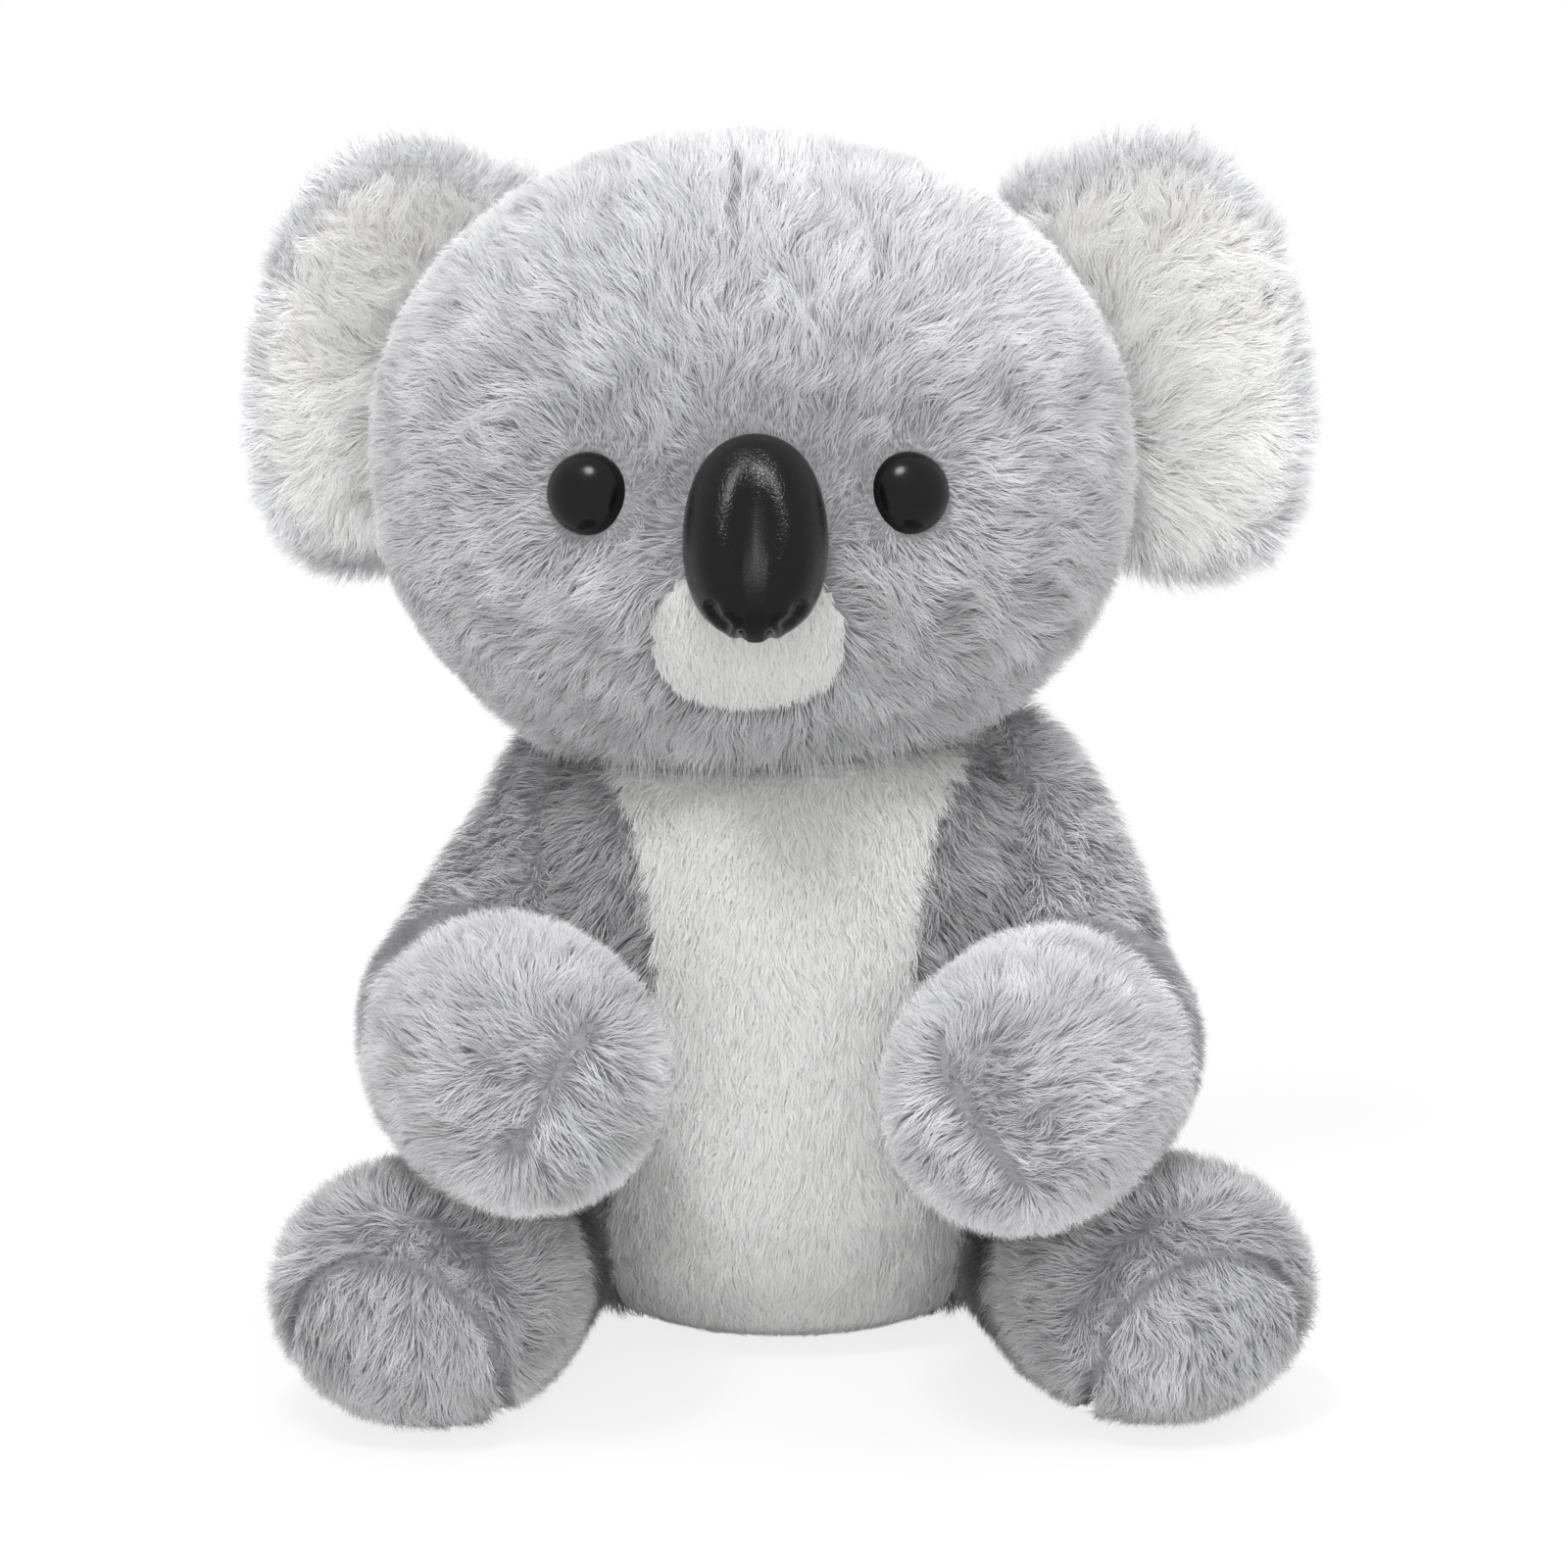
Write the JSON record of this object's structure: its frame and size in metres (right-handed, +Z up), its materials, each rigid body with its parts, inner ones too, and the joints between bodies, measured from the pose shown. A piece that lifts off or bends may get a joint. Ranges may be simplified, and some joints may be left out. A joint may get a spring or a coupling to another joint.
{
  "type": "plush koala",
  "caption": "Seated stuffed koala toy with round ears, large oval nose, white belly, and arms, legs, ears and head that bend at their seams.",
  "frame": {"origin": "middle of the seat's flat face, on the surface that the toy sits on", "axes": "+Z up, -Y the way the toy faces, +X the toy's own left"},
  "size_m": [0.1907, 0.1552, 0.2107],
  "materials": {
    "grey_fur": "grey fur fabric, pile about 6 mm",
    "white_fur": "short white fur fabric",
    "ear_fur": "long white fur fabric",
    "stuffing": "polyester stuffing",
    "cotton": "plain woven cotton",
    "black_plastic": "gloss, grained on the nose",
    "washer_plastic": "plain moulded"
  },
  "bodies": {
    "torso": {"torso_cover": "grey_fur", "belly_panel": "white_fur", "torso_stuffing": "stuffing", "pellet_bag": "cotton"},
    "neck": {"neck_stuffing": "stuffing"},
    "head": {"head_cover": "grey_fur", "muzzle_panel": "white_fur", "head_stuffing": "stuffing", "nose": "black_plastic", "nose_washer": "washer_plastic", "eye_left": "black_plastic", "eye_right": "black_plastic", "eye_washer_left": "washer_plastic", "eye_washer_right": "washer_plastic"},
    "ear_left": {"ear_back_left": "grey_fur", "ear_lining_left": "ear_fur", "ear_stuffing_left": "stuffing"},
    "ear_right": {"ear_back_right": "grey_fur", "ear_lining_right": "ear_fur", "ear_stuffing_right": "stuffing"},
    "arm_left": {"arm_cover_left": "grey_fur", "arm_stuffing_left": "stuffing"},
    "arm_right": {"arm_cover_right": "grey_fur", "arm_stuffing_right": "stuffing"},
    "leg_left": {"leg_cover_left": "grey_fur", "sole_panel_left": "grey_fur", "leg_stuffing_left": "stuffing"},
    "leg_right": {"leg_cover_right": "grey_fur", "sole_panel_right": "grey_fur", "leg_stuffing_right": "stuffing"}
  },
  "joints": [
    {"name": "neck_turn", "type": "hinge", "parent": "torso", "child": "neck", "pos_m": [-0.0036, -0.0024, 0.1034], "axis": [0, 0, 1], "range_deg": [-20, 20], "stiffness_Nm_per_rad": 0.06},
    {"name": "neck_nod", "type": "hinge", "parent": "neck", "child": "head", "pos_m": [-0.0036, -0.0024, 0.1034], "axis": [1, 0, 0], "range_deg": [-5, 5], "stiffness_Nm_per_rad": 0.3},
    {"name": "ear_left_fold", "type": "hinge", "parent": "head", "child": "ear_left", "pos_m": [0.05289, 0.02, 0.1658], "axis": [0.2419, 0, -0.9703], "range_deg": [-12, 12], "stiffness_Nm_per_rad": 0.01},
    {"name": "ear_right_fold", "type": "hinge", "parent": "head", "child": "ear_right", "pos_m": [-0.0569, 0.03, 0.16558], "axis": [0.2419, 0, 0.9703], "range_deg": [-12, 10], "stiffness_Nm_per_rad": 0.01},
    {"name": "shoulder_left_lift", "type": "hinge", "parent": "torso", "child": "arm_left", "pos_m": [0.04, -0.00263, 0.096], "axis": [-0.9935, 0, -0.1142], "range_deg": [0, 25], "stiffness_Nm_per_rad": 0.06},
    {"name": "shoulder_right_lift", "type": "hinge", "parent": "torso", "child": "arm_right", "pos_m": [-0.04, -0.00263, 0.096], "axis": [-0.9935, 0, 0.1142], "range_deg": [0, 20], "stiffness_Nm_per_rad": 0.06},
    {"name": "hip_left_splay", "type": "hinge", "parent": "torso", "child": "leg_left", "pos_m": [0.0475, 0.0135, 0.018], "axis": [0, 0, 1], "range_deg": [0, 12], "stiffness_Nm_per_rad": 0.06},
    {"name": "hip_right_splay", "type": "hinge", "parent": "torso", "child": "leg_right", "pos_m": [-0.0475, 0.0135, 0.018], "axis": [0, 0, -1], "range_deg": [0, 20], "stiffness_Nm_per_rad": 0.06}
  ]
}
